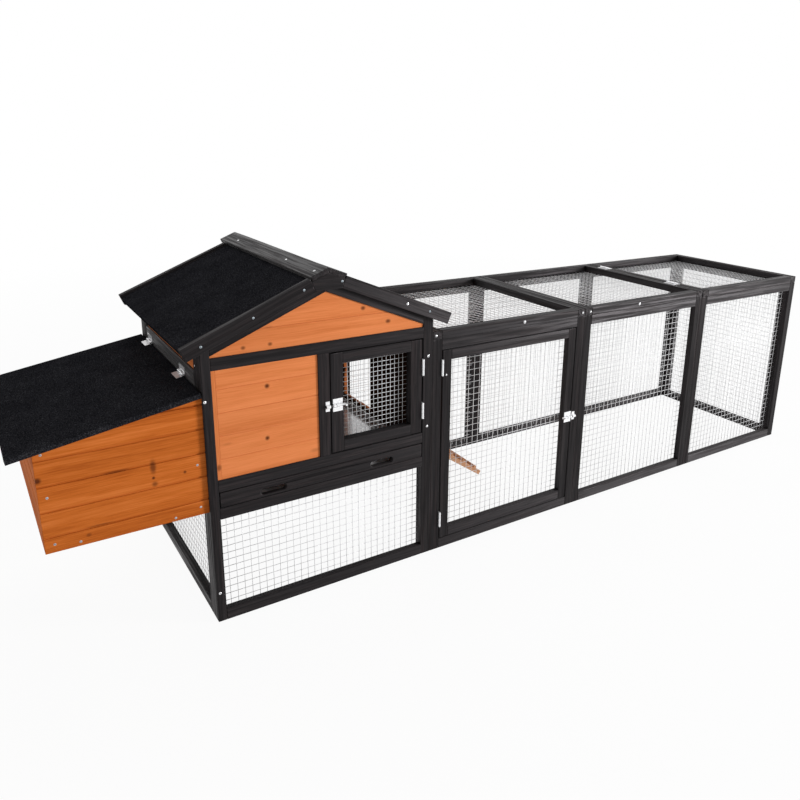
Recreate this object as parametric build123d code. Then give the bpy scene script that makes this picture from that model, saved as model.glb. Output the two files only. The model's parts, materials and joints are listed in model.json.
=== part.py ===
from build123d import *
import math
import os

# A wooden hen house on posts with a nest box on its left and a wire run on its right.
# Millimetres: X along the coop to the right, Y from the front to the back, Z up from the ground.
# The origin is under the middle of the whole coop, on the ground.

# Overall sizes
house_length = 620.0
house_depth = 580.0
bay_length = 560.0
bay_count = 3
run_height = 665.0
nest_length = 350.0
nest_lid_overhang = 50.0

# Timber sections
post_size = 30.0
left_post_width = 22.0
left_post_depth = 60.0
batten_width = 30.0
batten_thickness = 20.0
top_bar_thickness = 24.0
board_thickness = 12.0
board_cover = 58.0
board_recess = 4.0
board_min_rip = 14.0
tongue_length = 5.0
tongue_thickness = 4.0
tongue_clearance = 0.2
board_bevel = 2.0

# House levels
lower_rail_base = 278.0
tray_opening = 42.0
gable_foot = 8.8
gable_first_rip = 54.0
edge_lath_width = 10.0
front_panel_width = 262.5
front_panel_first_rip = 52.0
runner_height = 20.0

# Roof
roof_pitch = 22.6
eave_rise = 44.6
eave_overhang = 44.0
back_overhang = 22.0
deck_thickness = 10.0
felt_thickness = 3.0
rafter_width = 32.0
barge_width = 32.0
barge_thickness = 18.0
barge_rise = 8.0
ridge_cap_width = 45.0
ridge_cap_thickness = 12.0
ridge_cap_overhang = 35.0
end_plate_reach = 48.0

# Nest box
nest_base = 300.0
nest_lid_drop = 59.4
nest_side_inset = 10.0
nest_board_cover = 59.5
nest_first_rip = 39.5
nest_groove_height = 5.0
nest_groove_depth = 3.0
nest_floor_thickness = 10.0
nest_sill_height = 58.0
nest_rail_height = 49.0
nest_batten = 20.0
nest_lid_fall = 0.175
nest_lid_thickness = 9.0
nest_lid_felt = 3.0
nest_lid_rounding = 2.5
nest_lid_gap = 1.5
nest_lid_seat = 0.5

# Welded wire mesh
wire_width = 1.2
run_mesh_pitch = 19.0
window_mesh_pitch = 12.7
mesh_lap = 9.0
mesh_side_gap = 0.5

# House door and run door
door_thickness = 25.0
door_stile = 35.0
door_rail = 30.0
door_gap = 2.0
hinge_gap = 3.0
lid_seat = 0.4

# Pop hole and ramp
pop_hole_width = 184.0
pop_hole_height = 249.0
pop_hole_base = 331.0
pop_hole_back_margin = 66.0
ramp_run = 446.0
ramp_drop = 18.0
ramp_thickness = 15.0
cleat_width = 12.0
cleat_height = 8.0
cleat_spacing = 62.0

# Droppings tray
tray_front_thickness = 15.0
tray_sheet_thickness = 1.0
tray_lip_height = 20.0
tray_clearance = 1.0
tray_slide_clearance = 0.3
tray_back_gap = 4.0
finger_slot_length = 68.0
finger_slot_width = 16.5
finger_slot_spacing = 305.0
finger_slot_height = 15.0

# Small round metalwork is drawn with this many flats
round_sides = 10

# Butt hinges
knuckle_radius = 3.0
knuckle_standoff = 0.4
knuckle_gap = 0.3
pin_radius = 1.5
pin_clearance = 0.05
leaf_thickness = 1.0
leaf_reach = 18.0
hinge_length = 46.0
house_hinge_insets = (42.0, 56.0)
run_hinge_insets = (40.0, 26.0)
nest_hinge_insets = (141.0, 76.0)
top_hinge_insets = (115.0, 82.0)

# Barrel bolts
rod_radius = 3.0
rod_clearance = 0.1
bolt_travel = 12.0
bolt_plate_length = 27.0
bolt_plate_height = 34.0
bolt_wall = 1.5
bolt_housing_length = 15.0
bolt_strap_width = 6.0
bolt_tail_length = 10.0
bolt_tail_radius = 2.5
bolt_tip_lead = 2.0
keeper_length = 11.0
keeper_setback = 2.0
keeper_foot = 9.0
keeper_clearance = 0.5
house_bolt_height = 513.0
house_bolt_inset = 5.0
run_bolt_height = 317.0
run_bolt_inset = 0.5

# Places worked out from the sizes above
overall_length = nest_lid_overhang + nest_length + house_length + bay_count * bay_length
overall_depth = house_depth + back_overhang + 2 * barge_thickness + ridge_cap_overhang
house_left = nest_lid_overhang + nest_length - overall_length / 2
house_right = house_left + house_length
run_right = house_right + bay_count * bay_length
front = barge_thickness - overall_depth / 2
back = front + house_depth
house_middle = (front + back) / 2
ridge_x = (house_left + house_right) / 2
inner_left = house_left + left_post_width
inner_right = house_right - post_size
inner_front = front + post_size
inner_back = back - post_size
left_inner_front = front + left_post_depth
left_inner_back = back - left_post_depth

pitch = math.radians(roof_pitch)
slope_length = (house_length / 2 + eave_overhang) / math.cos(pitch)
ridge_z = run_height + eave_rise + slope_length * math.sin(pitch)
roof_build_up = felt_thickness + deck_thickness
roof_back = back + back_overhang

lower_rail_top = lower_rail_base + batten_width
sill_base = lower_rail_top + tray_opening
sill_top = sill_base + batten_width
gable_apex = ridge_z - (roof_build_up + rafter_width) / math.cos(pitch)
left_rafter_foot = gable_apex - (ridge_x - inner_left) * math.tan(pitch)
right_rafter_foot = gable_apex - (inner_right - ridge_x) * math.tan(pitch)
tie_top = right_rafter_foot - gable_foot
tie_base = tie_top - batten_width
stile_left = inner_left + front_panel_width
stile_right = stile_left + batten_width

nest_left = house_left - nest_length
nest_front = front + nest_side_inset
nest_back = back - nest_side_inset
nest_top = tie_base - nest_lid_drop
nest_rail_top = nest_top + nest_rail_height
lid_angle = math.atan(nest_lid_fall)

frame_top = run_height - top_bar_thickness
wall_face_right = house_right - board_recess
ramp_top = pop_hole_base - ramp_drop
pop_hole_back = back - pop_hole_back_margin
pop_hole_front = pop_hole_back - pop_hole_width

house_door_left = stile_right + door_gap
house_door_right = inner_right - hinge_gap
house_door_base = sill_top + door_gap
house_door_top = tie_base - door_gap
run_door_left = house_right + batten_width + hinge_gap
run_door_right = house_right + bay_length - batten_width - door_gap
run_door_base = batten_width + door_gap
run_door_top = frame_top - batten_width - door_gap
top_lid_left = run_right - bay_length + hinge_gap


def block(x0, x1, y0, y1, z0, z1):
    """Squared timber or sheet between two opposite corners."""
    return Pos((x0 + x1) / 2, (y0 + y1) / 2, (z0 + z1) / 2) * Box(x1 - x0, y1 - y0, z1 - z0)


def prism(points, y0, y1):
    """Outline of X and Z points carried from y0 back to y1."""
    plane = Plane(origin=(0, y0, 0), x_dir=(1, 0, 0), z_dir=(0, -1, 0))
    return extrude(plane * Polygon(*points, align=None), amount=y1 - y0, dir=(0, 1, 0))


def roof_outline(points, side):
    """Turns distances down the slope and below the felt into X and Z, left for -1 and right for 1."""
    outline = []
    for down, under in points:
        out = down * math.cos(pitch) - under * math.sin(pitch)
        fall = down * math.sin(pitch) + under * math.cos(pitch)
        outline.append((ridge_x + side * out, ridge_z - fall))
    return outline


def down_slope(out, under):
    """Distance down the slope of a plumb cut at a distance out from the ridge."""
    return (out + under * math.sin(pitch)) / math.cos(pitch)


def deck_underside(x):
    """Height of the underside of the roof deck over a place along the coop."""
    return ridge_z - abs(x - ridge_x) * math.tan(pitch) - roof_build_up / math.cos(pitch)


def under_roof(y0, y1):
    """All the space below the roof deck, between two places front to back."""
    return prism(
        [
            (house_left, 0),
            (house_right, 0),
            (house_right, deck_underside(house_right)),
            (ridge_x, deck_underside(ridge_x)),
            (house_left, deck_underside(house_left)),
        ],
        y0,
        y1,
    )


def matchboard(height, has_tongue, has_groove, is_rebated):
    """Section of a tongued and grooved board, bevelled or rebated below its tongue: x inwards, y up."""
    middle = board_thickness / 2
    half_tongue = tongue_thickness / 2
    half_groove = half_tongue + tongue_clearance
    groove_depth = tongue_length + tongue_clearance
    points = [(0, 0)]
    if has_groove:
        points.append((middle - half_groove, 0))
        points.append((middle - half_groove, groove_depth))
        points.append((middle + half_groove, groove_depth))
        points.append((middle + half_groove, 0))
    points.append((board_thickness, 0))
    points.append((board_thickness, height))
    if has_tongue:
        points.append((middle + half_tongue, height))
        points.append((middle + half_tongue, height + tongue_length))
        points.append((middle - half_tongue, height + tongue_length))
        points.append((middle - half_tongue, height))
    if has_tongue and is_rebated:
        points.append((nest_groove_depth, height))
        points.append((nest_groove_depth, height - nest_groove_height))
        points.append((0, height - nest_groove_height))
    elif has_tongue:
        points.append((board_bevel, height))
        points.append((0, height - board_bevel))
    else:
        points.append((0, height))
    return Polygon(*points, align=None)


def board_levels(base, top, first, cover):
    """Heights of the joints between boards, with no strip at the top too thin to cut."""
    levels = [base]
    level = base + first
    while level < top - board_min_rip:
        levels.append(level)
        level += cover
    levels.append(top)
    return levels


def cladding(corner, inward, length, base, top, first, cover=board_cover, is_rebated=False):
    """Boards laid from base to top; corner is the X and Y of the face where the length starts."""
    along = Vector(*inward).cross(Vector(0, 0, 1))
    levels = board_levels(base, top, first, cover)
    boards = []
    for low, high in zip(levels, levels[1:]):
        plane = Plane(origin=(corner[0], corner[1], low), x_dir=inward, z_dir=along)
        section = matchboard(high - low, high < top, low > base, is_rebated)
        boards.append(extrude(plane * section, amount=length))
    return boards


def batten_frame(plane, width, height, depth, stile=batten_width, rail=batten_width):
    """Two stiles and the two rails between them, in a plane whose z runs through the frame."""
    battens = []
    for x in (stile / 2, width - stile / 2):
        battens.append(plane * Pos(x, height / 2, depth / 2) * Box(stile, height, depth))
    for y in (rail / 2, height - rail / 2):
        battens.append(plane * Pos(width / 2, y, depth / 2) * Box(width - 2 * stile, rail, depth))
    return battens


def wire_places(span, spacing):
    """Even places for wires across an opening, centred in it."""
    count = max(2, int(span // spacing))
    first = (span - (count - 1) * spacing) / 2
    return [first + spacing * index for index in range(count)]


def mesh_panel(plane, width, height, spacing, lap_x, lap_y):
    """Upright wires lie on the plane and cross wires lie on them, each reaching a lap past the opening."""
    wires = []
    for x in wire_places(width, spacing):
        wire = Box(wire_width, height + 2 * lap_y, wire_width)
        wires.append(plane * Pos(x, height / 2, wire_width / 2) * wire)
    for y in wire_places(height, spacing):
        wire = Box(width + 2 * lap_x, wire_width, wire_width)
        wires.append(plane * Pos(width / 2, y, wire_width * 1.5) * wire)
    return wires


def facing_back(x, y, z):
    """Plane with x to the right, y up and z to the front, for what lies on a back frame."""
    return Plane(origin=(x, y, z), x_dir=(1, 0, 0), z_dir=(0, -1, 0))


def facing_front(x, y, z):
    """Plane with x to the left, y up and z to the back, for what lies behind a front frame."""
    return Plane(origin=(x, y, z), x_dir=(-1, 0, 0), z_dir=(0, 1, 0))


def under_top_frame(x, y, z):
    """Plane with x to the right, y to the front and z down, for what hangs under a top frame."""
    return Plane(origin=(x, y, z), x_dir=(1, 0, 0), z_dir=(0, 0, -1))


def house_frame():
    """Posts, rails and rafters that carry the house."""
    posts = []
    for x0, x1, depth in ((house_left, inner_left, left_post_depth), (inner_right, house_right, post_size)):
        outline = [(x0, 0), (x1, 0), (x1, deck_underside(x1)), (x0, deck_underside(x0))]
        posts.append(prism(outline, front, front + depth))
        posts.append(prism(outline, back - depth, back))
    levels = {
        "bottom": (0, batten_width),
        "lower": (lower_rail_base, lower_rail_top),
        "sill": (sill_base, sill_top),
        "tie": (tie_base, tie_top),
    }
    front_rails = []
    for low, high in levels.values():
        front_rails.append(block(inner_left, inner_right, front, front + batten_thickness, low, high))
    back_rails = []
    for name in ("bottom", "lower", "tie"):
        low, high = levels[name]
        back_rails.append(block(inner_left, inner_right, back - batten_thickness, back, low, high))
    left_edge = house_left + batten_thickness
    side_rails = []
    for name in ("bottom", "lower"):
        low, high = levels[name]
        side_rails.append(block(house_left, left_edge, left_inner_front, left_inner_back, low, high))
    low, high = levels["lower"]
    side_rails.append(block(house_right - batten_thickness, house_right, inner_front, inner_back, low, high))
    hinge_rail = block(house_left, left_edge, left_inner_front, left_inner_back, nest_top, nest_rail_top)
    rafters = []
    low = roof_build_up
    high = roof_build_up + rafter_width
    for side, reach in ((-1, ridge_x - inner_left), (1, inner_right - ridge_x)):
        points = [
            (down_slope(0, low), low),
            (down_slope(reach, low), low),
            (down_slope(reach, high), high),
            (down_slope(0, high), high),
        ]
        outline = roof_outline(points, side)
        rafters.append(prism(outline, front, front + batten_thickness))
        rafters.append(prism(outline, back - batten_thickness, back))
    return {
        "house_corner_posts": posts,
        "house_front_rails": front_rails,
        "house_door_stile": [
            block(stile_left, stile_right, front, front + batten_thickness, sill_top, tie_base)
        ],
        "house_back_rails": back_rails,
        "house_side_rails": side_rails,
        "nest_hinge_rail": [hinge_rail],
        "gable_rafters": rafters,
        "tray_runners": [
            block(
                x,
                x + batten_thickness,
                front + batten_thickness,
                back - batten_thickness,
                lower_rail_top - runner_height,
                lower_rail_top,
            )
            for x in (inner_left, inner_right - batten_thickness)
        ],
    }


def gable_cladding(corner, inward, y0, y1):
    """Boards of one gable, cut to the space between tie, posts and rafters."""
    opening = prism(
        [
            (inner_left, tie_top),
            (inner_right, tie_top),
            (inner_right, right_rafter_foot),
            (ridge_x, gable_apex),
            (inner_left, left_rafter_foot),
        ],
        y0,
        y1,
    )
    boards = cladding(corner, inward, inner_right - inner_left, tie_top, gable_apex, gable_first_rip)
    return [board & opening for board in boards]


def house_cladding():
    """Tongued and grooved boards of the four walls and the gables."""
    front_face = front + board_recess
    back_face = back - board_recess
    left_face = house_left + board_recess
    left_depth = left_inner_back - left_inner_front
    wall_length = inner_right - inner_left
    panel_left = inner_left + edge_lath_width
    roof_space = under_roof(front, back)
    left_lower = cladding(
        (left_face, left_inner_back),
        (1, 0, 0),
        left_depth,
        lower_rail_top,
        lower_rail_top + nest_sill_height,
        nest_sill_height,
    )
    left_upper = cladding(
        (left_face, left_inner_back),
        (1, 0, 0),
        left_depth,
        nest_rail_top,
        deck_underside(left_face + board_thickness),
        board_cover,
    )
    right = cladding(
        (wall_face_right, inner_front),
        (-1, 0, 0),
        inner_back - inner_front,
        lower_rail_top,
        deck_underside(wall_face_right - board_thickness),
        board_cover,
    )
    pop_hole = block(
        wall_face_right - 2 * board_thickness,
        wall_face_right + board_thickness,
        pop_hole_front,
        pop_hole_back,
        pop_hole_base,
        pop_hole_base + pop_hole_height,
    )
    edge_lath = block(inner_left, panel_left, front_face, front_face + board_thickness, sill_top, tie_base)
    front_boards = cladding(
        (panel_left, front_face),
        (0, 1, 0),
        stile_left - panel_left,
        sill_top,
        tie_base,
        front_panel_first_rip,
    )
    return {
        "front_wall_boards": [edge_lath, *front_boards],
        "back_wall_boards": cladding(
            (inner_right, back_face),
            (0, -1, 0),
            wall_length,
            lower_rail_top,
            tie_base,
            board_cover,
        ),
        "left_wall_boards": left_lower + [board & roof_space for board in left_upper],
        "right_wall_boards": [(board & roof_space) - pop_hole for board in right],
        "gable_boards": gable_cladding((inner_left, front_face), (0, 1, 0), front, house_middle)
        + gable_cladding((inner_right, back_face), (0, -1, 0), house_middle, back),
    }


def roof():
    """Decks, felt folded over the eaves, barge boards, ridge cap and ridge end plates."""
    deck_end = slope_length - felt_thickness
    barge_low = barge_width - barge_rise
    felt_outline = [
        (0, 0),
        (slope_length, 0),
        (slope_length, roof_build_up),
        (deck_end, roof_build_up),
        (deck_end, felt_thickness),
        (down_slope(0, felt_thickness), felt_thickness),
    ]
    deck_outline = [
        (down_slope(0, felt_thickness), felt_thickness),
        (deck_end, felt_thickness),
        (deck_end, roof_build_up),
        (down_slope(0, roof_build_up), roof_build_up),
    ]
    barge_outline = [
        (end_plate_reach, -barge_rise),
        (slope_length, -barge_rise),
        (slope_length, barge_low),
        (end_plate_reach, barge_low),
    ]
    cap_outline = [
        (down_slope(0, -ridge_cap_thickness), -ridge_cap_thickness),
        (ridge_cap_width, -ridge_cap_thickness),
        (ridge_cap_width, 0),
        (0, 0),
    ]
    plate_right = roof_outline([(0, 0), (end_plate_reach, 0), (end_plate_reach, barge_low)], 1)
    plate_left = roof_outline([(end_plate_reach, barge_low), (end_plate_reach, 0)], -1)
    front_end = front - barge_thickness
    back_end = roof_back + barge_thickness
    barges = []
    plates = []
    for y0, y1 in ((front_end, front), (roof_back, back_end)):
        plates.append(prism(plate_right + plate_left, y0, y1))
        for side in (-1, 1):
            barges.append(prism(roof_outline(barge_outline, side), y0, y1))
    caps = []
    for side in (-1, 1):
        caps.append(prism(roof_outline(cap_outline, side), front_end, back_end + ridge_cap_overhang))
    nodes = {"barge_boards": barges, "ridge_end_plates": plates, "ridge_cap_boards": caps}
    for name, side in (("left", -1), ("right", 1)):
        nodes[f"roof_{name}_felt"] = [prism(roof_outline(felt_outline, side), front, roof_back)]
        nodes[f"roof_{name}_deck"] = [prism(roof_outline(deck_outline, side), front, roof_back)]
    return nodes


def nest_box():
    """Box hung on the left wall, without its lid."""
    wall_seat = nest_top - nest_lid_seat
    end_seat = wall_seat - nest_length * nest_lid_fall
    lid_space = prism(
        [(nest_left, nest_base), (house_left, nest_base), (house_left, wall_seat), (nest_left, end_seat)],
        nest_front,
        nest_back,
    )
    inner_y0 = nest_front + board_thickness
    inner_y1 = nest_back - board_thickness
    inner_x = nest_left + board_thickness

    def nest_cladding(corner, inward, length, top):
        return cladding(corner, inward, length, nest_base, top, nest_first_rip, nest_board_cover, True)

    front_boards = nest_cladding((nest_left, nest_front), (0, 1, 0), nest_length, wall_seat)
    back_boards = nest_cladding((house_left, nest_back), (0, -1, 0), nest_length, wall_seat)
    end_boards = nest_cladding((nest_left, inner_y1), (1, 0, 0), inner_y1 - inner_y0, end_seat)
    floor_top = nest_base + nest_floor_thickness
    batten_top = end_seat + board_thickness * nest_lid_fall
    battens = []
    for x in (inner_x, house_left - nest_batten):
        for y in (inner_y0, inner_y1 - nest_batten):
            battens.append(block(x, x + nest_batten, y, y + nest_batten, floor_top, batten_top))
    return {
        "nest_side_boards": [board & lid_space for board in front_boards + back_boards],
        "nest_end_boards": end_boards,
        "nest_floor": [block(inner_x, house_left, inner_y0, inner_y1, nest_base, floor_top)],
        "nest_corner_battens": battens,
    }


def nest_lid_plane():
    """Plane of the lid's underside: x down the slope away from the wall, z up through the lid."""
    fall = (-math.cos(lid_angle), 0, -math.sin(lid_angle))
    rise = (-math.sin(lid_angle), 0, math.cos(lid_angle))
    return Plane(origin=(house_left, house_middle, nest_top), x_dir=fall, z_dir=rise)


def nest_lid():
    """Sloping lid board and the felt that wraps its top and three edges."""
    plane = nest_lid_plane()
    thickness = nest_lid_thickness + nest_lid_felt
    rounding_out = nest_lid_rounding + (thickness - nest_lid_rounding) * math.sin(lid_angle)
    flat_reach = (nest_length + nest_lid_overhang - rounding_out) / math.cos(lid_angle)
    length = flat_reach + nest_lid_rounding - nest_lid_gap
    cover = Pos(nest_lid_gap + length / 2, 0, thickness / 2) * Box(length, house_depth, thickness)
    far_edges = cover.edges().group_by(Axis.Z)[-1].sort_by(Axis.X)[1:]
    cover = fillet(far_edges, nest_lid_rounding)
    board_length = length - nest_lid_felt
    board = Pos(nest_lid_gap + board_length / 2, 0, nest_lid_thickness / 2) * Box(
        board_length, house_depth - 2 * nest_lid_felt, nest_lid_thickness
    )
    return {"nest_lid_panel": [plane * board], "nest_lid_felt": [plane * (cover - board)]}


def run_frames():
    """Frames of the run: front, back, far end and top, one per bay."""
    front_frames = []
    back_frames = []
    top_frames = []
    surround = []
    for bay in range(bay_count):
        left = house_right + bay * bay_length
        plane = facing_front(left + bay_length, front, 0)
        battens = batten_frame(plane, bay_length, frame_top, batten_thickness)
        if bay == 0:
            surround = battens
        else:
            front_frames += battens
        plane = facing_back(left, back, 0)
        back_frames += batten_frame(plane, bay_length, frame_top, batten_thickness)
        if bay < bay_count - 1:
            plane = Plane(origin=(left, front, frame_top))
            top_frames += batten_frame(plane, bay_length, house_depth, top_bar_thickness)
    end_depth = house_depth - 2 * batten_thickness
    plane = Plane(origin=(run_right, back - batten_thickness, 0), x_dir=(0, -1, 0), z_dir=(-1, 0, 0))
    return {
        "run_door_surround": surround,
        "run_front_frames": front_frames,
        "run_back_frames": back_frames,
        "run_top_frames": top_frames,
        "run_end_frame": batten_frame(plane, end_depth, frame_top, batten_thickness),
    }


def run_meshes():
    """Mesh stapled inside the run's fixed frames and under its fixed top frames."""
    opening_width = bay_length - 2 * batten_width
    opening_height = frame_top - 2 * batten_width
    top_depth = house_depth - 2 * batten_width
    front_meshes = []
    back_meshes = []
    top_meshes = []
    for bay in range(bay_count):
        left = house_right + bay * bay_length + batten_width
        right = left + opening_width
        if bay > 0:
            plane = facing_front(right, front + batten_thickness, batten_width)
            front_meshes += mesh_panel(
                plane, opening_width, opening_height, run_mesh_pitch, mesh_lap, mesh_lap
            )
        plane = facing_back(left, back - batten_thickness, batten_width)
        back_meshes += mesh_panel(plane, opening_width, opening_height, run_mesh_pitch, mesh_lap, mesh_lap)
        if bay < bay_count - 1:
            plane = under_top_frame(left, back - batten_width, frame_top)
            top_meshes += mesh_panel(plane, opening_width, top_depth, run_mesh_pitch, mesh_lap, mesh_lap)
    end_width = house_depth - 2 * batten_thickness - 2 * batten_width
    plane = Plane(
        origin=(run_right - batten_thickness, back - batten_thickness - batten_width, batten_width),
        x_dir=(0, -1, 0),
        z_dir=(-1, 0, 0),
    )
    return {
        "run_front_meshes": front_meshes,
        "run_back_meshes": back_meshes,
        "run_top_meshes": top_meshes,
        "run_end_mesh": mesh_panel(plane, end_width, opening_height, run_mesh_pitch, mesh_lap, mesh_lap),
    }


def house_lower_meshes():
    """Mesh round the space under the house, on its front, left and back."""
    height = lower_rail_base - batten_width
    length = inner_right - inner_left
    depth = left_inner_back - left_inner_front
    left_plane = Plane(
        origin=(house_left + batten_thickness, left_inner_front, batten_width),
        x_dir=(0, 1, 0),
        z_dir=(1, 0, 0),
    )
    wires = mesh_panel(
        facing_front(inner_right, front + batten_thickness, batten_width),
        length,
        height,
        run_mesh_pitch,
        -mesh_side_gap,
        mesh_lap,
    )
    wires += mesh_panel(
        facing_back(inner_left, back - batten_thickness, batten_width),
        length,
        height,
        run_mesh_pitch,
        -mesh_side_gap,
        mesh_lap,
    )
    wires += mesh_panel(left_plane, depth, height, run_mesh_pitch, -mesh_side_gap, mesh_lap)
    return {"house_lower_meshes": wires}


def house_door():
    """Door frame with a mesh window."""
    width = house_door_right - house_door_left
    height = house_door_top - house_door_base
    window_width = width - 2 * door_stile
    window_height = height - 2 * door_rail
    outside = facing_front(house_door_right, front, house_door_base)
    inside = facing_front(
        house_door_right - door_stile, front + door_thickness, house_door_base + door_rail
    )
    return {
        "house_door_frame": batten_frame(outside, width, height, door_thickness, door_stile, door_rail),
        "house_door_mesh": mesh_panel(
            inside, window_width, window_height, window_mesh_pitch, mesh_lap, mesh_lap
        ),
    }


def run_door():
    """Large wire door in the first bay of the run."""
    width = run_door_right - run_door_left
    height = run_door_top - run_door_base
    outside = facing_front(run_door_right, front, run_door_base)
    inside = facing_front(
        run_door_right - batten_width, front + batten_thickness, run_door_base + batten_width
    )
    mesh = mesh_panel(
        inside, width - 2 * batten_width, height - 2 * batten_width, run_mesh_pitch, mesh_lap, mesh_lap
    )
    return {"run_door_frame": batten_frame(outside, width, height, batten_thickness), "run_door_mesh": mesh}


def top_lid():
    """Lid over the last bay of the run."""
    length = run_right - top_lid_left
    base = frame_top + lid_seat
    plane = Plane(origin=(top_lid_left, front, base))
    mesh = mesh_panel(
        under_top_frame(top_lid_left + batten_width, back - batten_width, base),
        length - 2 * batten_width,
        house_depth - 2 * batten_width,
        run_mesh_pitch,
        mesh_lap,
        mesh_lap,
    )
    frame = batten_frame(plane, length, house_depth, run_height - base)
    return {"top_lid_frame": frame, "top_lid_mesh": mesh}


def ramp():
    """Sloping board with cleats, from the rail below the pop hole down to the ground."""
    angle = math.atan(ramp_top / ramp_run)
    underside_top = ramp_top - ramp_thickness / math.cos(angle)
    heel = house_right + underside_top / math.tan(angle)
    outline = [
        (house_right, ramp_top),
        (heel + ramp_thickness * math.sin(angle), ramp_thickness * math.cos(angle)),
        (heel, 0),
        (house_right, underside_top),
    ]
    plane = Plane(
        origin=(house_right, (pop_hole_front + pop_hole_back) / 2, ramp_top),
        x_dir=(math.cos(angle), 0, -math.sin(angle)),
        z_dir=(math.sin(angle), 0, math.cos(angle)),
    )
    cleats = []
    for place in wire_places(math.hypot(ramp_top, ramp_run), cleat_spacing):
        cleat = Box(cleat_width, pop_hole_width, cleat_height)
        cleats.append(plane * Pos(place, 0, cleat_height / 2) * cleat)
    return {"ramp_board": [prism(outline, pop_hole_front, pop_hole_back)], "ramp_cleats": cleats}


def tray():
    """Droppings tray that pulls out under the house door."""
    x0 = inner_left + tray_clearance
    x1 = inner_right - tray_clearance
    base = lower_rail_top + tray_slide_clearance
    top = sill_base - tray_clearance
    pan_front = front + tray_front_thickness
    pan_back = back - batten_thickness - tray_back_gap
    floor_top = base + tray_sheet_thickness
    lip_top = floor_top + tray_lip_height
    face = block(x0, x1, front, pan_front, base, top)
    for side in (-0.5, 0.5):
        centre = (ridge_x + side * finger_slot_spacing, front, base + finger_slot_height)
        plane = Plane(origin=centre, x_dir=(1, 0, 0), z_dir=(0, -1, 0))
        slot = plane * SlotOverall(finger_slot_length, finger_slot_width)
        face -= extrude(slot, amount=tray_front_thickness, both=True)
    side_lips = [
        block(x, x + tray_sheet_thickness, pan_front, pan_back, floor_top, lip_top)
        for x in (x0, x1 - tray_sheet_thickness)
    ]
    back_lip = block(
        x0 + tray_sheet_thickness,
        x1 - tray_sheet_thickness,
        pan_back - tray_sheet_thickness,
        pan_back,
        floor_top,
        lip_top,
    )
    return {
        "tray_front": [face],
        "tray_pan": [block(x0, x1, pan_front, pan_back, base, floor_top), *side_lips, back_lip],
    }


def round_bar(radius, length):
    """Small bar along z from the origin."""
    return extrude(RegularPolygon(radius, round_sides), amount=length)


def hinge_leaf(start, axis, reach, low_side, knuckles, has_pin):
    """Leaf with rolled knuckles on an axis. Its plate lies between low_side and one leaf thickness more."""
    plane = Plane(origin=start, x_dir=reach, z_dir=axis)
    plate_start = knuckle_radius + knuckle_standoff
    middle = low_side + leaf_thickness / 2
    plate_reach = leaf_reach - plate_start
    leaf = Pos(plate_start + plate_reach / 2, middle, hinge_length / 2) * Box(
        plate_reach, leaf_thickness, hinge_length
    )
    for low, high in knuckles:
        centre = (low + high) / 2
        leaf += Pos(plate_start / 2, middle, centre) * Box(plate_start, leaf_thickness, high - low)
        leaf += Pos(0, 0, low) * round_bar(knuckle_radius, high - low)
    if has_pin:
        leaf += round_bar(pin_radius, hinge_length)
    else:
        leaf -= round_bar((pin_radius + pin_clearance) / math.cos(math.pi / round_sides), hinge_length)
    return plane * leaf


def butt_hinge(start, axis, fixed_reach, moving_reach, fixed_side, moving_side):
    """Fixed leaf with the end knuckles and the staked pin, and moving leaf with the middle knuckle."""
    third = hinge_length / 3
    ends = [(0, third), (hinge_length - third, hinge_length)]
    middle = [(third + knuckle_gap, hinge_length - third - knuckle_gap)]
    fixed = hinge_leaf(start, axis, fixed_reach, fixed_side, ends, True)
    moving = hinge_leaf(start, axis, moving_reach, moving_side, middle, False)
    return fixed, moving


def door_hinges(gap_x, base, top, insets, moves_right):
    """Hinges whose leaves sit in the gap beside a door, knuckles in front; insets from base and top."""
    inner = hinge_gap / 2 - leaf_thickness
    toward_left = inner
    toward_right = -inner - leaf_thickness
    fixed_side, moving_side = (toward_left, toward_right) if moves_right else (toward_right, toward_left)
    axis_y = front - knuckle_radius - knuckle_standoff
    fixed = []
    moving = []
    for z in (base + insets[0], top - insets[1] - hinge_length):
        start = (gap_x, axis_y, z)
        leaves = butt_hinge(start, (0, 0, 1), (0, 1, 0), (0, 1, 0), fixed_side, moving_side)
        fixed.append(leaves[0])
        moving.append(leaves[1])
    return fixed, moving


def lid_hinges(axis_x, axis_z, insets, fixed_reach, fixed_side, moving_reach):
    """Hinges whose leaves lie flat on the faces, knuckles above the joint; insets from front and back."""
    axis_height = knuckle_radius + knuckle_standoff
    moving_side = axis_height - leaf_thickness if moving_reach[0] > 0 else -axis_height
    fixed = []
    moving = []
    for y in (front + insets[0], back - insets[1] - hinge_length):
        start = (axis_x, y, axis_z)
        leaves = butt_hinge(start, (0, 1, 0), fixed_reach, moving_reach, fixed_side, moving_side)
        fixed.append(leaves[0])
        moving.append(leaves[1])
    return fixed, moving


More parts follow.
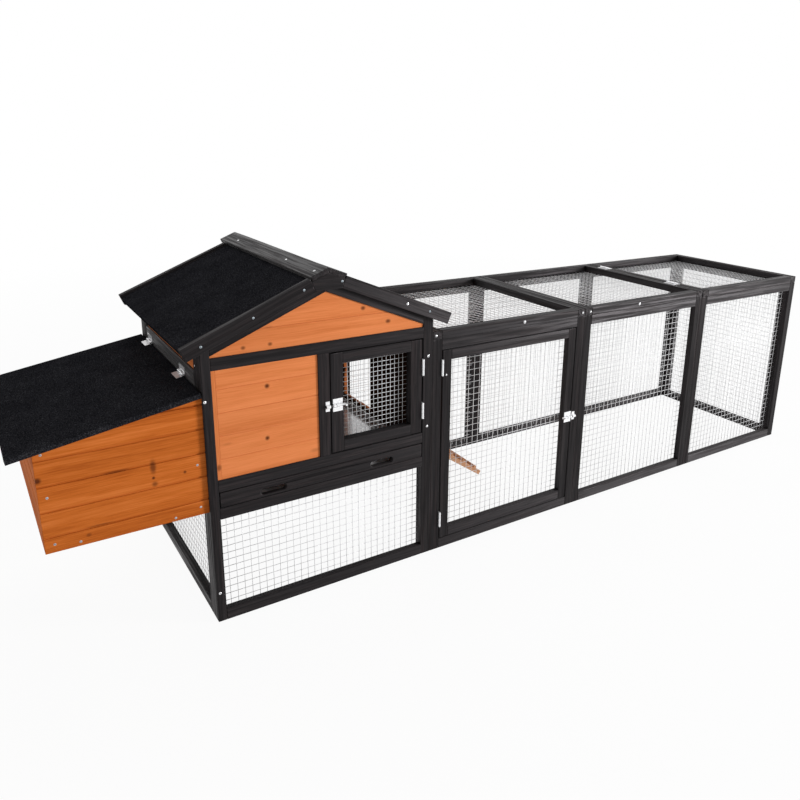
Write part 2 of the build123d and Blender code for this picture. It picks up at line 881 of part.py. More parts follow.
def hinges():
    """All eight butt hinges, fixed and moving leaves apart."""
    axis_height = knuckle_radius + knuckle_standoff
    house_fixed, house_moving = door_hinges(
        house_door_right + hinge_gap / 2, house_door_base, house_door_top, house_hinge_insets, False
    )
    run_fixed, run_moving = door_hinges(
        run_door_left - hinge_gap / 2, run_door_base, run_door_top, run_hinge_insets, True
    )
    lid_top = nest_lid_thickness + nest_lid_felt + axis_height
    along = (axis_height - lid_top * math.sin(lid_angle)) / math.cos(lid_angle)
    nest_axis = nest_lid_plane() * Pos(along, 0, lid_top)
    nest_fixed, nest_moving = lid_hinges(
        nest_axis.position.X,
        nest_axis.position.Z,
        nest_hinge_insets,
        (0, 0, 1),
        axis_height - leaf_thickness,
        (-math.cos(lid_angle), 0, -math.sin(lid_angle)),
    )
    top_fixed, top_moving = lid_hinges(
        top_lid_left - hinge_gap / 2,
        run_height + axis_height,
        top_hinge_insets,
        (-1, 0, 0),
        -axis_height,
        (1, 0, 0),
    )
    return {
        "house_door_fixed_hinges": house_fixed,
        "house_door_hinges": house_moving,
        "run_door_fixed_hinges": run_fixed,
        "run_door_hinges": run_moving,
        "nest_lid_fixed_hinges": nest_fixed,
        "nest_lid_hinges": nest_moving,
        "top_lid_fixed_hinges": top_fixed,
        "top_lid_hinges": top_moving,
    }


def rod_cover(radius, rise, length):
    """Arch over a rod whose axis is at the origin, standing on a face that is the rise below it."""
    outer = radius + bolt_wall
    shell = RegularPolygon(outer, round_sides) + Pos(0, -rise / 2) * Rectangle(2 * outer, rise)
    bore = RegularPolygon(radius, round_sides) + Pos(0, -rise / 2) * Rectangle(2 * radius, rise)
    above_face = Pos(0, (outer - rise) / 2) * Rectangle(2 * outer, outer + rise)
    return extrude((shell - bore) & above_face, amount=length)


def barrel_bolt(door_edge, inset, frame_edge, height, side):
    """Bolt plate, sliding rod and keeper; side is the way the rod shoots along X."""
    axis_rise = bolt_wall + rod_clearance + rod_radius
    axis_y = front - axis_rise
    plate_end = door_edge - side * inset
    # Local x runs across the rod, y out from the door and z back along the rod from its shooting end
    shooting = Plane(origin=(plate_end, axis_y, height), x_dir=(0, 0, -side), z_dir=(-side, 0, 0))
    plate = Pos(0, bolt_wall / 2 - axis_rise, bolt_plate_length / 2) * Box(
        bolt_plate_height, bolt_wall, bolt_plate_length
    )
    strap = rod_cover(rod_radius + rod_clearance, axis_rise - bolt_wall, bolt_strap_width)
    for start in (0, bolt_housing_length - bolt_strap_width):
        plate += Pos(0, 0, start) * strap
    tail_start = bolt_housing_length + bolt_travel + bolt_tip_lead
    rod_length = tail_start + 2 * rod_radius + bolt_tip_lead
    rod = Pos(0, 0, -bolt_tip_lead) * round_bar(rod_radius, rod_length)
    rod += Pos(0, 0, tail_start + rod_radius) * Rot(-90, 0, 0) * round_bar(bolt_tail_radius, bolt_tail_length)
    keeper_start = frame_edge + side * (keeper_length + keeper_setback)
    keeping = Plane(origin=(keeper_start, axis_y, height), x_dir=(0, 0, -side), z_dir=(-side, 0, 0))
    keeper = rod_cover(rod_radius + keeper_clearance, axis_rise, keeper_length)
    foot_inner = rod_radius + keeper_clearance + bolt_wall / 2
    for way in (-1, 1):
        foot_middle = way * (foot_inner + keeper_foot / 2)
        keeper += Pos(foot_middle, bolt_wall / 2 - axis_rise, keeper_length / 2) * Box(
            keeper_foot, bolt_wall, keeper_length
        )
    return shooting * plate, shooting * rod, keeping * keeper


def bolts():
    """Barrel bolts of the house door and the run door, drawn back."""
    house_plate, house_rod, house_keeper = barrel_bolt(
        house_door_left, house_bolt_inset, stile_right, house_bolt_height, -1
    )
    run_plate, run_rod, run_keeper = barrel_bolt(
        run_door_right, run_bolt_inset, run_door_right + door_gap, run_bolt_height, 1
    )
    return {
        "house_bolt_plate": [house_plate],
        "house_bolt": [house_rod],
        "run_bolt_plate": [run_plate],
        "run_bolt": [run_rod],
        "bolt_keepers": [house_keeper, run_keeper],
    }


os.makedirs("parts", exist_ok=True)
sections = (
    house_frame,
    house_cladding,
    house_lower_meshes,
    roof,
    nest_box,
    nest_lid,
    run_frames,
    run_meshes,
    house_door,
    run_door,
    top_lid,
    ramp,
    tray,
    hinges,
    bolts,
)
for section in sections:
    for node, pieces in section().items():
        solids = [solid for piece in pieces for solid in piece.solids()]
        export_step(Compound(solids), f"parts/{node}.step")
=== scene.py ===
import json
import math
import random

import bmesh
import bpy
from mathutils import Matrix, Vector

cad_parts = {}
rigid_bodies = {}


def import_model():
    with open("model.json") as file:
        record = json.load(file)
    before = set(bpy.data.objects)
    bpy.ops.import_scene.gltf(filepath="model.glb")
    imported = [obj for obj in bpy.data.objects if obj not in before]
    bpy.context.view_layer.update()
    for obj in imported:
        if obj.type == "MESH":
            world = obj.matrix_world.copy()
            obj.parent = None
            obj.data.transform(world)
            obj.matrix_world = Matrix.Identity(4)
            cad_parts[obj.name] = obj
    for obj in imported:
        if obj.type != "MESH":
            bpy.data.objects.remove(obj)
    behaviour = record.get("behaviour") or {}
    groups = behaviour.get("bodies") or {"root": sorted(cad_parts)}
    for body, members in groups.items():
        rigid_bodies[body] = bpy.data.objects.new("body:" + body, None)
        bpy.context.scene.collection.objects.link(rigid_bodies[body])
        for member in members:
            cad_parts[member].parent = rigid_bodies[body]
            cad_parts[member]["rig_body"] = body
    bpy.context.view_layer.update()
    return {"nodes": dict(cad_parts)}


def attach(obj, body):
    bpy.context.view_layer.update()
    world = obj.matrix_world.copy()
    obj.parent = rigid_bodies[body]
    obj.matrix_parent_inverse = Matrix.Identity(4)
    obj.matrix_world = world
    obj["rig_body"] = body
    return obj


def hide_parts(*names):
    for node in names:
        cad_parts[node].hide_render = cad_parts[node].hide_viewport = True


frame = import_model()

# A wooden hen house with a nest box and a wire run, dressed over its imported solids.
# Metres: X along the coop to the right, Y from the front to the back, Z up from the ground.

# Camera: lens in pixels of the square picture, place in metres
image_size = 800.0
focal_pixels = 749.1
principal_x = 446.4
principal_y = 343.8
camera_place = Vector((-1.3889, -1.9435, 1.1984))
camera_pitch = math.radians(-16.243)
camera_yaw = math.radians(34.157)
camera_roll = math.radians(1.313)

# Soft lamps: place, the point that each is aimed at, side of its square and power in watts
lamps = {
    "key light": (Vector((3.95, -3.55, 1.2)), Vector((0.1, -0.3, 0.4)), 1.4, 292.0),
    "front light": (Vector((-1.2, -3.4, 2.2)), Vector((-0.7, -0.3, 0.5)), 2.2, 4.0),
    "left light": (Vector((-3.4, -1.0, 1.5)), Vector((-1.0, -0.1, 0.5)), 2.0, 13.0),
    "back light": (Vector((0.2, 2.2, 4.6)), Vector((0.0, 0.3, 0.4)), 3.0, 50.0),
}

# Surroundings, and a floor that turns fully white between two distances from its middle
world_strength = 0.38
background_colour = (1.0, 1.0, 1.0, 1.0)
floor_radius = 12.0
floor_sides = 96
floor_drop = 0.0005
floor_colour = (0.85, 0.85, 0.85, 1.0)
floor_white_share = 0.94
floor_fade_start = 2.0
floor_fade_end = 5.0

# Timber: points alike to so many digits are one, and sharp edges are rounded
point_digits = 6
timber_rounding = 0.0014
board_rounding = 0.0008
rounding_steps = 2
rounded_angle = math.radians(30.0)
flat_angle = math.radians(1.0)
bend_angle = math.radians(5.0)
steep_share = 0.7

# Painted shade inside the house, which begins at this depth behind the outer faces of its posts, and the tone
# of that painted shade
inside_depth = 0.0155
painted_inside_shade = 0.06

# Seams round the doors and the tray, wider to the eye than their running clearance
seam_trims = {"tray_front": 0.0014, "house_door_frame": 0.0012, "run_door_frame": 0.0012}

# Wood of each slot, and of the nodes that differ from their slot
slot_woods = {"black_wood": "black wood", "orange_wood": "orange wood", "plain_wood": "plain wood"}
node_woods = {
    "nest_side_boards": "nest wood",
    "nest_end_boards": "nest wood",
    "ramp_board": "ramp wood",
    "ramp_cleats": "ramp wood",
}

# Dark, middle and light colour of the grain
wood_stops = {
    "black wood": ((0.0005, 0.0004, 0.0004), (0.0015, 0.0012, 0.0011), (0.014, 0.0105, 0.0105)),
    "orange wood": ((0.53, 0.142, 0.038), (0.65, 0.2, 0.064), (0.73, 0.24, 0.085)),
    # The nest wood is a deeper orange stain than the house's, and part of its darkness is painted shade for
    # the shadow of the nest lid
    "nest wood": ((0.32, 0.063, 0.007), (0.51, 0.127, 0.019), (0.65, 0.187, 0.042)),
    "plain wood": ((0.2, 0.1, 0.045), (0.36, 0.2, 0.1), (0.48, 0.3, 0.17)),
    "ramp wood": ((0.38, 0.18, 0.09), (0.54, 0.28, 0.16), (0.66, 0.38, 0.23)),
}

# Least and most tone of a single board
wood_tones = {
    "black wood": (0.85, 1.2),
    "orange wood": (0.97, 1.03),
    "nest wood": (0.95, 1.03),
    "plain wood": (0.9, 1.1),
    "ramp wood": (0.95, 1.05),
}

# Gloss of the woods that have an even one
wood_roughness = {"orange wood": 0.7, "nest wood": 0.7, "plain wood": 0.6, "ramp wood": 0.5}
wood_gloss = 0.05

# Grain: scales along, across and through a board, and detail, roughness and bend of each noise
streak_length = 2.0
streak_fineness = 45.0
streak_noise = (3.0, 0.5, 0.6)
fibre_scale = (12.0, 420.0, 420.0)
fibre_noise = (3.0, 0.65)
fibre_share = 0.5
grain_middle = 0.5
grain_spread = 0.2
grain_shift = 50.0
relief_depth = 0.0008
wood_relief = 0.3

# Painted highlight along the top edge of the boards on the house, for the light that the joints catch: its
# height and its gain in tone
painted_highlight_height = 0.0035
painted_highlight_gain = 0.35

# Black wood: finer streaks, and a sheen that is smoother in some streaks than in others
black_fineness = 110.0
black_spread = 0.1
sheen_scale = (3.0, 110.0, 110.0)
sheen_noise = (4.0, 0.7)
sheen_low = 0.42
sheen_high = 0.58
sheen_rough = 0.8
sheen_smooth = 0.4
sheen_gloss = 0.28
sheen_tint = (1.0, 0.92, 0.97, 1.0)
sheen_stretch = 0.75
sheen_turn = 0.25

# Roofing felt: fine grit over broad patches
grit_scale = 420.0
grit_noise = (3.0, 0.7)
patch_scale = 14.0
patch_noise = (3.0, 0.5)
grit_share = 0.9
felt_stops = [(0.36, (0.003, 0.003, 0.004)), (0.52, (0.014, 0.014, 0.0165)), (0.66, (0.06, 0.06, 0.067))]
felt_roughness = 1.0
felt_gloss = 0.0
felt_relief = 0.5

# Metals: dark and light of the mottle, share of metal, roughness and fineness of the mottle
metal_finishes = {
    "bright zinc": ((0.8, 0.8, 0.82), (0.97, 0.97, 0.98), 0.4, 0.2, 160.0),
    "dull zinc": ((0.3, 0.36, 0.4), (0.45, 0.5, 0.54), 0.3, 0.5, 160.0),
    "galvanised wire": ((0.68, 0.68, 0.69), (0.82, 0.82, 0.83), 0.1, 0.4, 90.0),
}
mottle_noise = (2.0, 0.5)
mottle_low = 0.35
mottle_high = 0.65

# Wire, thicker than the square wires by the swell
wire_sides = 8
wire_swell = 1.12

# Knots on the house front and on the nest box: X, Z, half width, half height and depth of colour
house_knots = [
    (-0.7966, 0.5941, 0.0065, 0.0065, 0.9),
    (-0.8016, 0.4613, 0.006, 0.006, 0.9),
    (-0.9225, 0.4119, 0.006, 0.009, 0.6),
    (-0.8993, 0.4678, 0.012, 0.004, 0.15),
    (-0.6788, 0.4011, 0.014, 0.006, 0.25),
    (-0.5385, 0.7550, 0.007, 0.006, 0.8),
    (-0.4667, 0.7123, 0.008, 0.006, 0.8),
    (-0.7844, 0.6964, 0.006, 0.005, 0.7),
    (-0.8494, 0.6962, 0.006, 0.005, 0.7),
    (-0.7874, 0.7382, 0.012, 0.004, 0.2),
]
nest_knots = [
    (-1.0678, 0.4480, 0.0075, 0.019, 0.7),
    (-1.0688, 0.4211, 0.004, 0.004, 0.9),
    (-1.0670, 0.4057, 0.007, 0.007, 0.6),
    (-0.9995, 0.4184, 0.004, 0.004, 0.8),
    (-1.1449, 0.4551, 0.03, 0.003, 0.5),
    (-1.1889, 0.3384, 0.03, 0.003, 0.5),
    (-1.2129, 0.3211, 0.006, 0.005, 0.5),
    (-1.2965, 0.4716, 0.008, 0.008, 0.9),
]

# How far a knot reaches into its board, its colour, and its heart and rim in shares of its half size
knot_reach = 0.02
knot_colour = (0.075, 0.017, 0.006, 1.0)
knot_heart = 0.3
knot_rim = 1.3

# Screw heads: radii, and the rest of their shape in shares of the radius
wide_head = 0.0046
large_head = 0.0034
middle_head = 0.0028
small_head = 0.0024
screw_sides = 24
screw_rings = (0.25, 0.5, 0.6, 0.85, 1.0)
screw_rise = 0.3
recess_reach = 0.55
recess_depth = 0.35
recess_width = 0.6

# Ways that screwed faces look, the last one from the left slope of the ridge cap
cap_slope = math.radians(22.6)
forward = Vector((0, -1, 0))
leftward = Vector((-1, 0, 0))
up_the_cap = Vector((-math.sin(cap_slope), 0, math.cos(cap_slope)))

# Screws: their node, the way its face looks, radius, metal and places, where None is the node's low side
screws = {
    "post_screws": ("house_corner_posts", forward, large_head, "bright zinc", [
        (-0.946, None, 0.582), (-0.942, None, 0.08), (-0.344, None, 0.6), (-0.345, None, 0.397),
    ]),
    "top_bar_screws": ("run_top_frames", forward, large_head, "bright zinc", [
        (-0.319, None, 0.653), (0.221, None, 0.653), (0.254, None, 0.653),
    ]),
    "top_bar_middle_screws": ("run_top_frames", forward, wide_head, "bright zinc", [
        (-0.011, None, 0.653), (0.474, None, 0.653),
    ]),
    "barge_screws": ("barge_boards", forward, middle_head, "dull zinc", [
        (-0.951, None, 0.7188), (-0.829, None, 0.7696), (-0.704, None, 0.8216), (-0.605, None, 0.8337),
        (-0.353, None, 0.7288),
    ]),
    "barge_middle_screws": ("barge_boards", forward, large_head, "bright zinc", [
        (-0.421, None, 0.7571),
    ]),
    "nest_screws": ("nest_side_boards", forward, middle_head, "dull zinc", [
        (-1.280, None, 0.3188), (-1.2301, None, 0.3102), (-1.0282, None, 0.3083), (-0.9697, None, 0.3201),
        (-0.9705, None, 0.4284), (-1.2844, None, 0.5278), (-1.2828, None, 0.4292),
    ]),
    "ridge_cap_screws": ("ridge_cap_boards", up_the_cap, large_head, "bright zinc", [
        (-0.6649, -0.3085, 0.8596), (-0.6649, -0.1345, 0.8596), (-0.6649, 0.2315, 0.8596),
    ]),
    "hinge_rail_screws": ("nest_hinge_rail", leftward, small_head, "bright zinc", [
        (None, -0.2705, 0.6565),
    ]),
    "run_door_screws": ("run_door_frame", forward, small_head, "bright zinc", [
        (-0.2836, None, 0.536),
    ]),
}


def change_open_edges(open_edges, corners):
    """Takes off the open edges that a new face closes, and adds its other edges to them."""
    for start, end in zip(corners, corners[1:] + corners[:1]):
        if (end, start) in open_edges:
            open_edges.remove((end, start))
        else:
            open_edges.add((start, end))


def shells_of(name):
    """Closed shells of a CAD node, each as corner points and triangles: a shell ends when no edge is open."""
    mesh = frame["nodes"][name].data
    shells = []
    points, faces, places, open_edges = [], [], {}, set()
    for face in mesh.polygons:
        corners = []
        for index in face.vertices:
            point = mesh.vertices[index].co
            key = tuple(round(value, point_digits) for value in point)
            if key not in places:
                places[key] = len(points)
                points.append(point.copy())
            corners.append(places[key])
        faces.append(corners)
        change_open_edges(open_edges, corners)
        if not open_edges:
            shells.append((points, faces))
            points, faces, places = [], [], {}
    return shells


def box_of(points):
    """Lowest and highest corner of some points."""
    low = Vector([min(point[axis] for point in points) for axis in range(3)])
    high = Vector([max(point[axis] for point in points) for axis in range(3)])
    return low, high


def node_box(name):
    """Lowest and highest corner of a CAD node."""
    return box_of([vertex.co for vertex in frame["nodes"][name].data.vertices])


def slot_of(name):
    """Material slot that the record gives a CAD node."""
    return frame["nodes"][name].data.materials[0].name


def body_of(name):
    """Body that a CAD node moves with."""
    return frame["nodes"][name]["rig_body"]


def add_piece(name, made, body, material):
    """A new visible piece that rides on a body."""
    mesh = bpy.data.meshes.new(name)
    made.to_mesh(mesh)
    made.free()
    piece = bpy.data.objects.new(name, mesh)
    bpy.context.scene.collection.objects.link(piece)
    mesh.materials.append(material)
    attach(piece, body)
    return piece


def join(tree, socket, value):
    """Links a socket to another one, or sets it to a plain value."""
    if isinstance(value, bpy.types.NodeSocket):
        tree.links.new(value, socket)
    else:
        socket.default_value = value


def add(tree, kind, inputs, **settings):
    """A shader node with its settings and inputs."""
    made = tree.nodes.new(kind)
    for key, value in settings.items():
        setattr(made, key, value)
    for key, value in inputs.items():
        join(tree, made.inputs[key], value)
    return made


def attribute(tree, name, output):
    """One output of an attribute that the mesh carries."""
    return add(tree, "ShaderNodeAttribute", {}, attribute_name=name).outputs[output]


def object_place(tree):
    """Place of the shaded point in the frame of its object."""
    return add(tree, "ShaderNodeTexCoord", {}).outputs["Object"]


def length(tree, vector):
    """Length of a vector."""
    return add(tree, "ShaderNodeVectorMath", {0: vector}, operation="LENGTH").outputs["Value"]


def blank_material(name):
    """A material with its node tree and its surface shader."""
    material = bpy.data.materials.new(name)
    material.use_nodes = True
    tree = material.node_tree
    return material, tree, tree.nodes["Principled BSDF"]


def ramp(tree, factor, stops):
    """Colour ramp through stops of position and colour."""
    made = add(tree, "ShaderNodeValToRGB", {"Fac": factor})
    elements = made.color_ramp.elements
    while len(elements) < len(stops):
        elements.new(0.5)
    for element, (position, colour) in zip(elements, stops):
        element.position = position
        element.color = (*colour, 1.0)
    return made.outputs["Color"]


def noise(tree, vector, scale, detail, roughness, distortion=0.0):
    """Noise over a vector stretched by a scale for each axis."""
    mapping = add(tree, "ShaderNodeMapping", {"Vector": vector, "Scale": scale})
    inputs = {
        "Vector": mapping.outputs["Vector"],
        "Scale": 1.0,
        "Detail": detail,
        "Roughness": roughness,
        "Distortion": distortion,
    }
    return add(tree, "ShaderNodeTexNoise", inputs).outputs["Fac"]


def maths(tree, operation, first, second):
    """One operation on two numbers."""
    return add(tree, "ShaderNodeMath", {0: first, 1: second}, operation=operation).outputs["Value"]


def blend(tree, first, second, first_share):
    """Two numbers added by their shares."""
    part = maths(tree, "MULTIPLY", first, first_share)
    rest = maths(tree, "MULTIPLY", second, 1.0 - first_share)
    return maths(tree, "ADD", part, rest)


def mix_colour(tree, factor, first, second, kind="MIX"):
    """Mix of two colours, which are sockets 6 and 7 of the node and its output 2."""
    inputs = {0: factor, 6: first, 7: second}
    made = add(tree, "ShaderNodeMix", inputs, data_type="RGBA", blend_type=kind)
    return made.outputs[2]


def map_range(tree, value, start, end, low, high, kind="LINEAR"):
    """A value carried from one range to another."""
    inputs = {"Value": value, "From Min": start, "From Max": end, "To Min": low, "To Max": high}
    return add(tree, "ShaderNodeMapRange", inputs, interpolation_type=kind).outputs["Result"]


def bump(tree, height, strength):
    """Surface relief from a height."""
    inputs = {"Height": height, "Strength": strength, "Distance": relief_depth}
    return add(tree, "ShaderNodeBump", inputs).outputs["Normal"]


def knot_mask(tree, knots, face):
    """Depth of colour in the heart of each knot on a face, falling to 0 at its rim."""
    place = object_place(tree)
    mask = 0.0
    for x, z, width, height, depth in knots:
        inputs = {"Vector": place, "Location": (x, face, z), "Scale": (width, knot_reach, height)}
        local = add(tree, "ShaderNodeMapping", inputs, vector_type="TEXTURE").outputs["Vector"]
        reach = length(tree, local)
        colour = map_range(tree, reach, knot_rim, knot_heart, 0.0, depth, "SMOOTHSTEP")
        mask = maths(tree, "MAXIMUM", mask, colour)
    return mask


def wood(name, knots=(), face=0.0, edge_gain=0.0, fineness=streak_fineness, spread=grain_spread):
    """Stained wood whose grain follows each board's own length, with a painted highlight along its top edge
    by the gain.
    """
    material, tree, surface = blank_material(name)
    grain = attribute(tree, "grain", "Vector")
    streaks = noise(tree, grain, (streak_length, fineness, fineness), *streak_noise)
    fibres = noise(tree, grain, fibre_scale, *fibre_noise)
    positions = (grain_middle - spread, grain_middle, grain_middle + spread)
    stops = list(zip(positions, wood_stops[name]))
    colour = ramp(tree, blend(tree, fibres, streaks, fibre_share), stops)
    if knots:
        colour = mix_colour(tree, knot_mask(tree, knots, face), colour, knot_colour)
    # Painted highlight along each board's top edge, times the tone attribute, which carries painted shade
    # inside the house
    edge_highlight = map_range(tree, attribute(tree, "drop", "Fac"), 0.0, painted_highlight_height, 1.0 + edge_gain, 1.0)
    tone = maths(tree, "MULTIPLY", attribute(tree, "tone", "Fac"), edge_highlight)
    shade = add(tree, "ShaderNodeCombineColor", {0: tone, 1: tone, 2: tone}).outputs["Color"]
    join(tree, surface.inputs["Base Color"], mix_colour(tree, 1.0, colour, shade, "MULTIPLY"))
    join(tree, surface.inputs["Normal"], bump(tree, fibres, wood_relief))
    return material, tree, surface


def satin_wood(name, **looks):
    """Stained wood of an even, faint gloss."""
    material, _, surface = wood(name, **looks)
    surface.inputs["Roughness"].default_value = wood_roughness[name]
    surface.inputs["Specular IOR Level"].default_value = wood_gloss
    return material


def black_wood():
    """Black stain on brushed wood, with a sheen that spreads across the grain."""
    material, tree, surface = wood("black wood", fineness=black_fineness, spread=black_spread)
    along = attribute(tree, "along", "Vector")
    ways = {"vector_type": "VECTOR", "convert_from": "OBJECT", "convert_to": "WORLD"}
    turned = add(tree, "ShaderNodeVectorTransform", {"Vector": along}, **ways)
    join(tree, surface.inputs["Tangent"], turned.outputs["Vector"])
    streaks = noise(tree, attribute(tree, "grain", "Vector"), sheen_scale, *sheen_noise)
    roughness = map_range(tree, streaks, sheen_low, sheen_high, sheen_rough, sheen_smooth)
    join(tree, surface.inputs["Roughness"], roughness)
    surface.inputs["Specular IOR Level"].default_value = sheen_gloss
    surface.inputs["Specular Tint"].default_value = sheen_tint
    surface.inputs["Anisotropic"].default_value = sheen_stretch
    surface.inputs["Anisotropic Rotation"].default_value = sheen_turn
    return material


def make_woods():
    """Every wood by its name."""
    panel_face = node_box("front_wall_boards")[0].y
    nest_face = node_box("nest_side_boards")[0].y
    panel_looks = {"knots": house_knots, "face": panel_face, "edge_gain": painted_highlight_gain}
    return {
        "black wood": black_wood(),
        "orange wood": satin_wood("orange wood", **panel_looks),
        "nest wood": satin_wood("nest wood", knots=nest_knots, face=nest_face),
        "plain wood": satin_wood("plain wood"),
        "ramp wood": satin_wood("ramp wood"),
    }


def roofing_felt():
    """Black mineral felt with a fine grit."""
    material, tree, surface = blank_material("roofing felt")
    place = object_place(tree)
    grit = noise(tree, place, (grit_scale, grit_scale, grit_scale), *grit_noise)
    patches = noise(tree, place, (patch_scale, patch_scale, patch_scale), *patch_noise)
    colour = ramp(tree, blend(tree, grit, patches, grit_share), felt_stops)
    join(tree, surface.inputs["Base Color"], colour)
    surface.inputs["Roughness"].default_value = felt_roughness
    surface.inputs["Specular IOR Level"].default_value = felt_gloss
    join(tree, surface.inputs["Normal"], bump(tree, grit, felt_relief))
    return material


def metal(name, dark, light, metallic, roughness, fineness):
    """Zinc coat on steel with a faint mottle."""
    material, tree, surface = blank_material(name)
    mottle = noise(tree, object_place(tree), (fineness, fineness, fineness), *mottle_noise)
    stops = [(mottle_low, dark), (mottle_high, light)]
    join(tree, surface.inputs["Base Color"], ramp(tree, mottle, stops))
    surface.inputs["Metallic"].default_value = metallic
    surface.inputs["Roughness"].default_value = roughness
    return material


def bent_edges(points, faces):
    """Edges of a shell where two faces meet at an angle, as vectors."""
    normals = {}
    for a, b, c in faces:
        normal = (points[b] - points[a]).cross(points[c] - points[a])
        for start, end in ((a, b), (b, c), (c, a)):
            normals.setdefault((min(start, end), max(start, end)), []).append(normal)
    edges = []
    for (start, end), sides in normals.items():
        if sides[0].angle(sides[1], 0.0) > bend_angle:
            edges.append(points[end] - points[start])
    return edges


def grain_ways(points, faces):
    """Ways along, across and through a board, from its longest edge."""
    along = max(bent_edges(points, faces), key=lambda edge: edge.length).normalized()
    helper = Vector((0, 0, 1)) if abs(along.z) < steep_share else Vector((0, 1, 0))
    across = along.cross(helper).normalized()
    return along, across, along.cross(across)


def is_inside(point, low, high):
    """True for a point on the inner side of the house walls."""
    return all(low[axis] + inside_depth < point[axis] < high[axis] - inside_depth for axis in (0, 1))


def trimmed(point, low, high, trim):
    """A point moved in by the trim where it lies on the outer sides, top or bottom of its node."""
    moved = point.copy()
    for axis in (0, 2):
        if point[axis] - low[axis] < trim:
            moved[axis] += trim
        if high[axis] - point[axis] < trim:
            moved[axis] -= trim
    return moved


def add_board(made, points, faces, house_box, chance, tones):
    """One board or batten with its own grain and tone, painted shade on the inner side of the house walls,
    and each corner's drop below its top.
    """
    ways = grain_ways(points, faces)
    shift = Vector([chance.uniform(0.0, grain_shift) for _ in range(3)])
    shade = chance.uniform(*tones)
    top = box_of(points)[1].z
    vectors = made.verts.layers.float_vector
    numbers = made.verts.layers.float
    corners = []
    for point in points:
        corner = made.verts.new(point)
        corner[vectors["grain"]] = Vector([point.dot(way) for way in ways]) + shift
        corner[vectors["along"]] = ways[0]
        # Inner sides of the house walls get painted shade in place of the board's own tone
        corner[numbers["tone"]] = painted_inside_shade if is_inside(point, *house_box) else shade
        corner[numbers["drop"]] = top - point.z
        corners.append(corner)
    for face in faces:
        made.faces.new([corners[index] for index in face])


def ease_edges(piece, rounding):
    """Rounds the sharp edges of a piece."""
    eased = piece.modifiers.new("Eased edges", "BEVEL")
    eased.width = rounding
    eased.segments = rounding_steps
    eased.limit_method = "ANGLE"
    eased.angle_limit = rounded_angle


def dressed_timber(name, material, rounding, tones, seed):
    """Boards or battens of a node with eased edges, and a grain of their own along each longest edge."""
    chance = random.Random(seed)
    house_box = node_box("house_corner_posts")
    low, high = node_box(name)
    trim = seam_trims.get(name, 0.0)
    made = bmesh.new()
    for layer in ("grain", "along"):
        made.verts.layers.float_vector.new(layer)
    for layer in ("tone", "drop"):
        made.verts.layers.float.new(layer)
    for points, faces in shells_of(name):
        points = [trimmed(point, low, high, trim) for point in points]
        add_board(made, points, faces, house_box, chance, tones)
    bmesh.ops.dissolve_limit(made, angle_limit=flat_angle, verts=made.verts, edges=made.edges)
    piece = add_piece(name + "_timber", made, body_of(name), material)
    ease_edges(piece, rounding)
    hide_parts(name)


def ring_angles(count):
    """Angles evenly round a circle."""
    return [2 * math.pi * index / count for index in range(count)]


def add_tube(made, start, end, radius, sides):
    """A round bar with closed ends between two points."""
    turn = (end - start).normalized().to_track_quat("Z", "Y")
    outs = [turn @ Vector((math.cos(angle), math.sin(angle), 0)) * radius for angle in ring_angles(sides)]
    rings = [[made.verts.new(centre + out) for out in outs] for centre in (start, end)]
    for index in range(sides):
        after = (index + 1) % sides
        face = made.faces.new((rings[0][index], rings[0][after], rings[1][after], rings[1][index]))
        face.smooth = True
    made.faces.new(rings[0][::-1])
    made.faces.new(rings[1])


def round_wires(name, material):
    """Round wires in place of the square ones of a mesh panel."""
    made = bmesh.new()
    for points, _ in shells_of(name):
        low, high = box_of(points)
        size = high - low
        axis = max(range(3), key=lambda index: size[index])
        start = (low + high) / 2
        end = start.copy()
        start[axis] = low[axis]
        end[axis] = high[axis]
        add_tube(made, start, end, wire_swell * min(size) / 2, wire_sides)
    piece = add_piece(name + "_wires", made, body_of(name), material)
    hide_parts(name)


def screw_ring(share, radius):
    """Points of one ring on a screw head, sunk where the cross recess is."""
    points = []
    for angle in ring_angles(screw_sides):
        rise = screw_rise * (1 - share * share)
        if share < recess_reach and abs(math.sin(2 * angle)) < recess_width:
            rise -= recess_depth
        points.append(Vector((math.cos(angle) * share, math.sin(angle) * share, rise)) * radius)
    return points


def add_screw(made, place, normal, radius):
    """A domed screw head with a cross recess, standing on a face."""
    turn = normal.to_track_quat("Z", "Y")
    floor_rise = (screw_rise - recess_depth) * radius
    heart = made.verts.new(place + turn @ Vector((0, 0, floor_rise)))
    rings = []
    for share in screw_rings:
        rings.append([made.verts.new(place + turn @ point) for point in screw_ring(share, radius)])
    for index in range(screw_sides):
        after = (index + 1) % screw_sides
        made.faces.new((heart, rings[0][index], rings[0][after]))
        for inner, outer in zip(rings, rings[1:]):
            made.faces.new((inner[index], outer[index], outer[after], inner[after]))


def add_screws(metals):
    """Screw heads seen on posts, rails, roof, nest box and run door."""
    for name, (node, way, radius, finish, places) in screws.items():
        low = node_box(node)[0]
        made = bmesh.new()
        for place in places:
            point = Vector([side if value is None else value for value, side in zip(place, low)])
            add_screw(made, point, way, radius)
        add_piece(name, made, body_of(node), metals[finish])


def dress_nodes(woods, metals, felt):
    """Gives every CAD node its finish, with timber and wire dressed over their solids."""
    for seed, (name, node) in enumerate(sorted(frame["nodes"].items())):
        slot = slot_of(name)
        wood_name = node_woods.get(name, slot_woods.get(slot))
        if wood_name:
            rounding = timber_rounding if slot == "black_wood" else board_rounding
            dressed_timber(name, woods[wood_name], rounding, wood_tones[wood_name], seed)
        elif slot == "welded_mesh":
            round_wires(name, metals["galvanised wire"])
        else:
            node.data.materials[0] = felt if slot == "roofing_felt" else metals["bright zinc"]


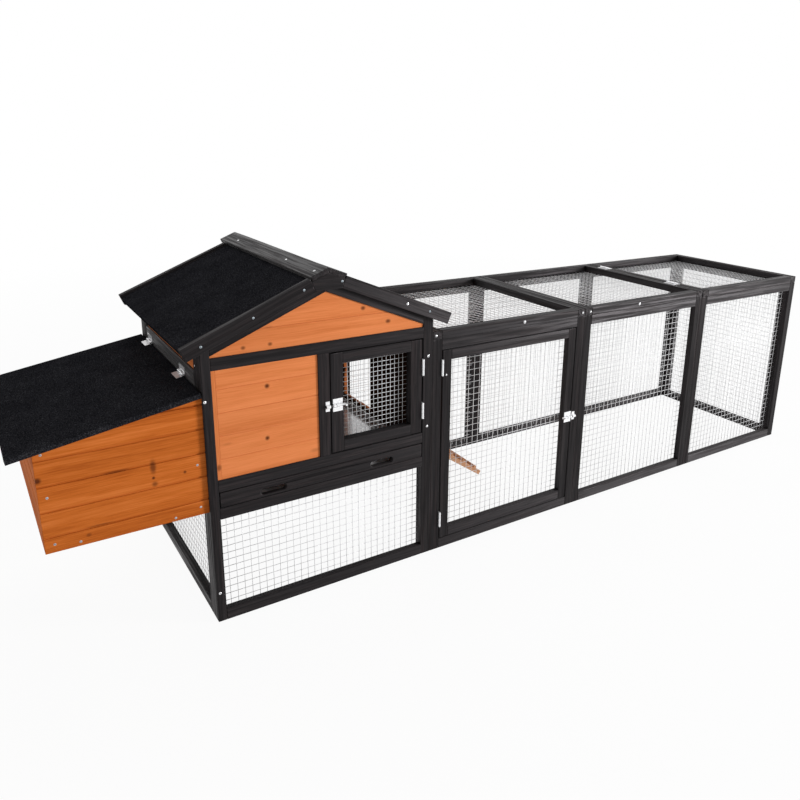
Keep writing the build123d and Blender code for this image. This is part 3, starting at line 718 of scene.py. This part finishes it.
def seen_rays(tree):
    """One for rays from the camera and for what metal, gloss or glass shows, and zero for light."""
    path = add(tree, "ShaderNodeLightPath", {})
    mirrored = maths(tree, "MAXIMUM", path.outputs["Is Glossy Ray"], path.outputs["Is Transmission Ray"])
    return maths(tree, "MAXIMUM", path.outputs["Is Camera Ray"], mirrored)


def build_world():
    """Even soft light from all round, seen as a white background."""
    world = bpy.data.worlds.new("studio")
    bpy.context.scene.world = world
    world.use_nodes = True
    tree = world.node_tree
    strength = map_range(tree, seen_rays(tree), 0.0, 1.0, world_strength, 1.0)
    backdrop = tree.nodes["Background"]
    backdrop.inputs["Color"].default_value = background_colour
    join(tree, backdrop.inputs["Strength"], strength)


def floor_paint():
    """Pale paint that keeps a soft shadow near the coop and turns white far from it."""
    material, tree, surface = blank_material("floor")
    tree.nodes.remove(surface)
    reach = length(tree, object_place(tree))
    fade = map_range(tree, reach, floor_fade_start, floor_fade_end, floor_white_share, 1.0)
    share = maths(tree, "MULTIPLY", seen_rays(tree), fade)
    paint = add(tree, "ShaderNodeBsdfDiffuse", {"Color": floor_colour}).outputs[0]
    white = add(tree, "ShaderNodeEmission", {"Strength": 1.0}).outputs[0]
    mixed = add(tree, "ShaderNodeMixShader", {0: share, 1: paint, 2: white}).outputs[0]
    join(tree, tree.nodes["Material Output"].inputs["Surface"], mixed)
    return material


def build_floor():
    """Round floor just under the coop."""
    made = bmesh.new()
    bmesh.ops.create_circle(made, cap_ends=True, radius=floor_radius, segments=floor_sides)
    mesh = bpy.data.meshes.new("floor")
    made.to_mesh(mesh)
    made.free()
    floor = bpy.data.objects.new("floor", mesh)
    floor.location.z = -floor_drop
    bpy.context.scene.collection.objects.link(floor)
    mesh.materials.append(floor_paint())


def add_softbox(name, place, target, size, power):
    """A square lamp aimed at a point."""
    data = bpy.data.lights.new(name, "AREA")
    data.size = size
    data.energy = power
    lamp = bpy.data.objects.new(name, data)
    turn = (target - place).to_track_quat("-Z", "Y").to_matrix().to_4x4()
    lamp.matrix_world = Matrix.Translation(place) @ turn
    bpy.context.scene.collection.objects.link(lamp)


def build_camera():
    """The camera that took the photograph."""
    data = bpy.data.cameras.new("Camera")
    data.sensor_fit = "HORIZONTAL"
    data.lens = focal_pixels / image_size * data.sensor_width
    data.shift_x = 0.5 - principal_x / image_size
    data.shift_y = principal_y / image_size - 0.5
    camera = bpy.data.objects.new("Camera", data)
    turn = Matrix.Rotation(-camera_yaw, 4, "Z")
    turn = turn @ Matrix.Rotation(math.pi / 2 + camera_pitch, 4, "X")
    turn = turn @ Matrix.Rotation(camera_roll, 4, "Z")
    camera.matrix_world = Matrix.Translation(camera_place) @ turn
    bpy.context.scene.collection.objects.link(camera)
    bpy.context.scene.camera = camera


all_metals = {name: metal(name, *finish) for name, finish in metal_finishes.items()}
dress_nodes(make_woods(), all_metals, roofing_felt())
add_screws(all_metals)
build_world()
build_floor()
for lamp_name, lamp_values in lamps.items():
    add_softbox(lamp_name, *lamp_values)
build_camera()
bpy.context.scene.view_settings.view_transform = "Standard"
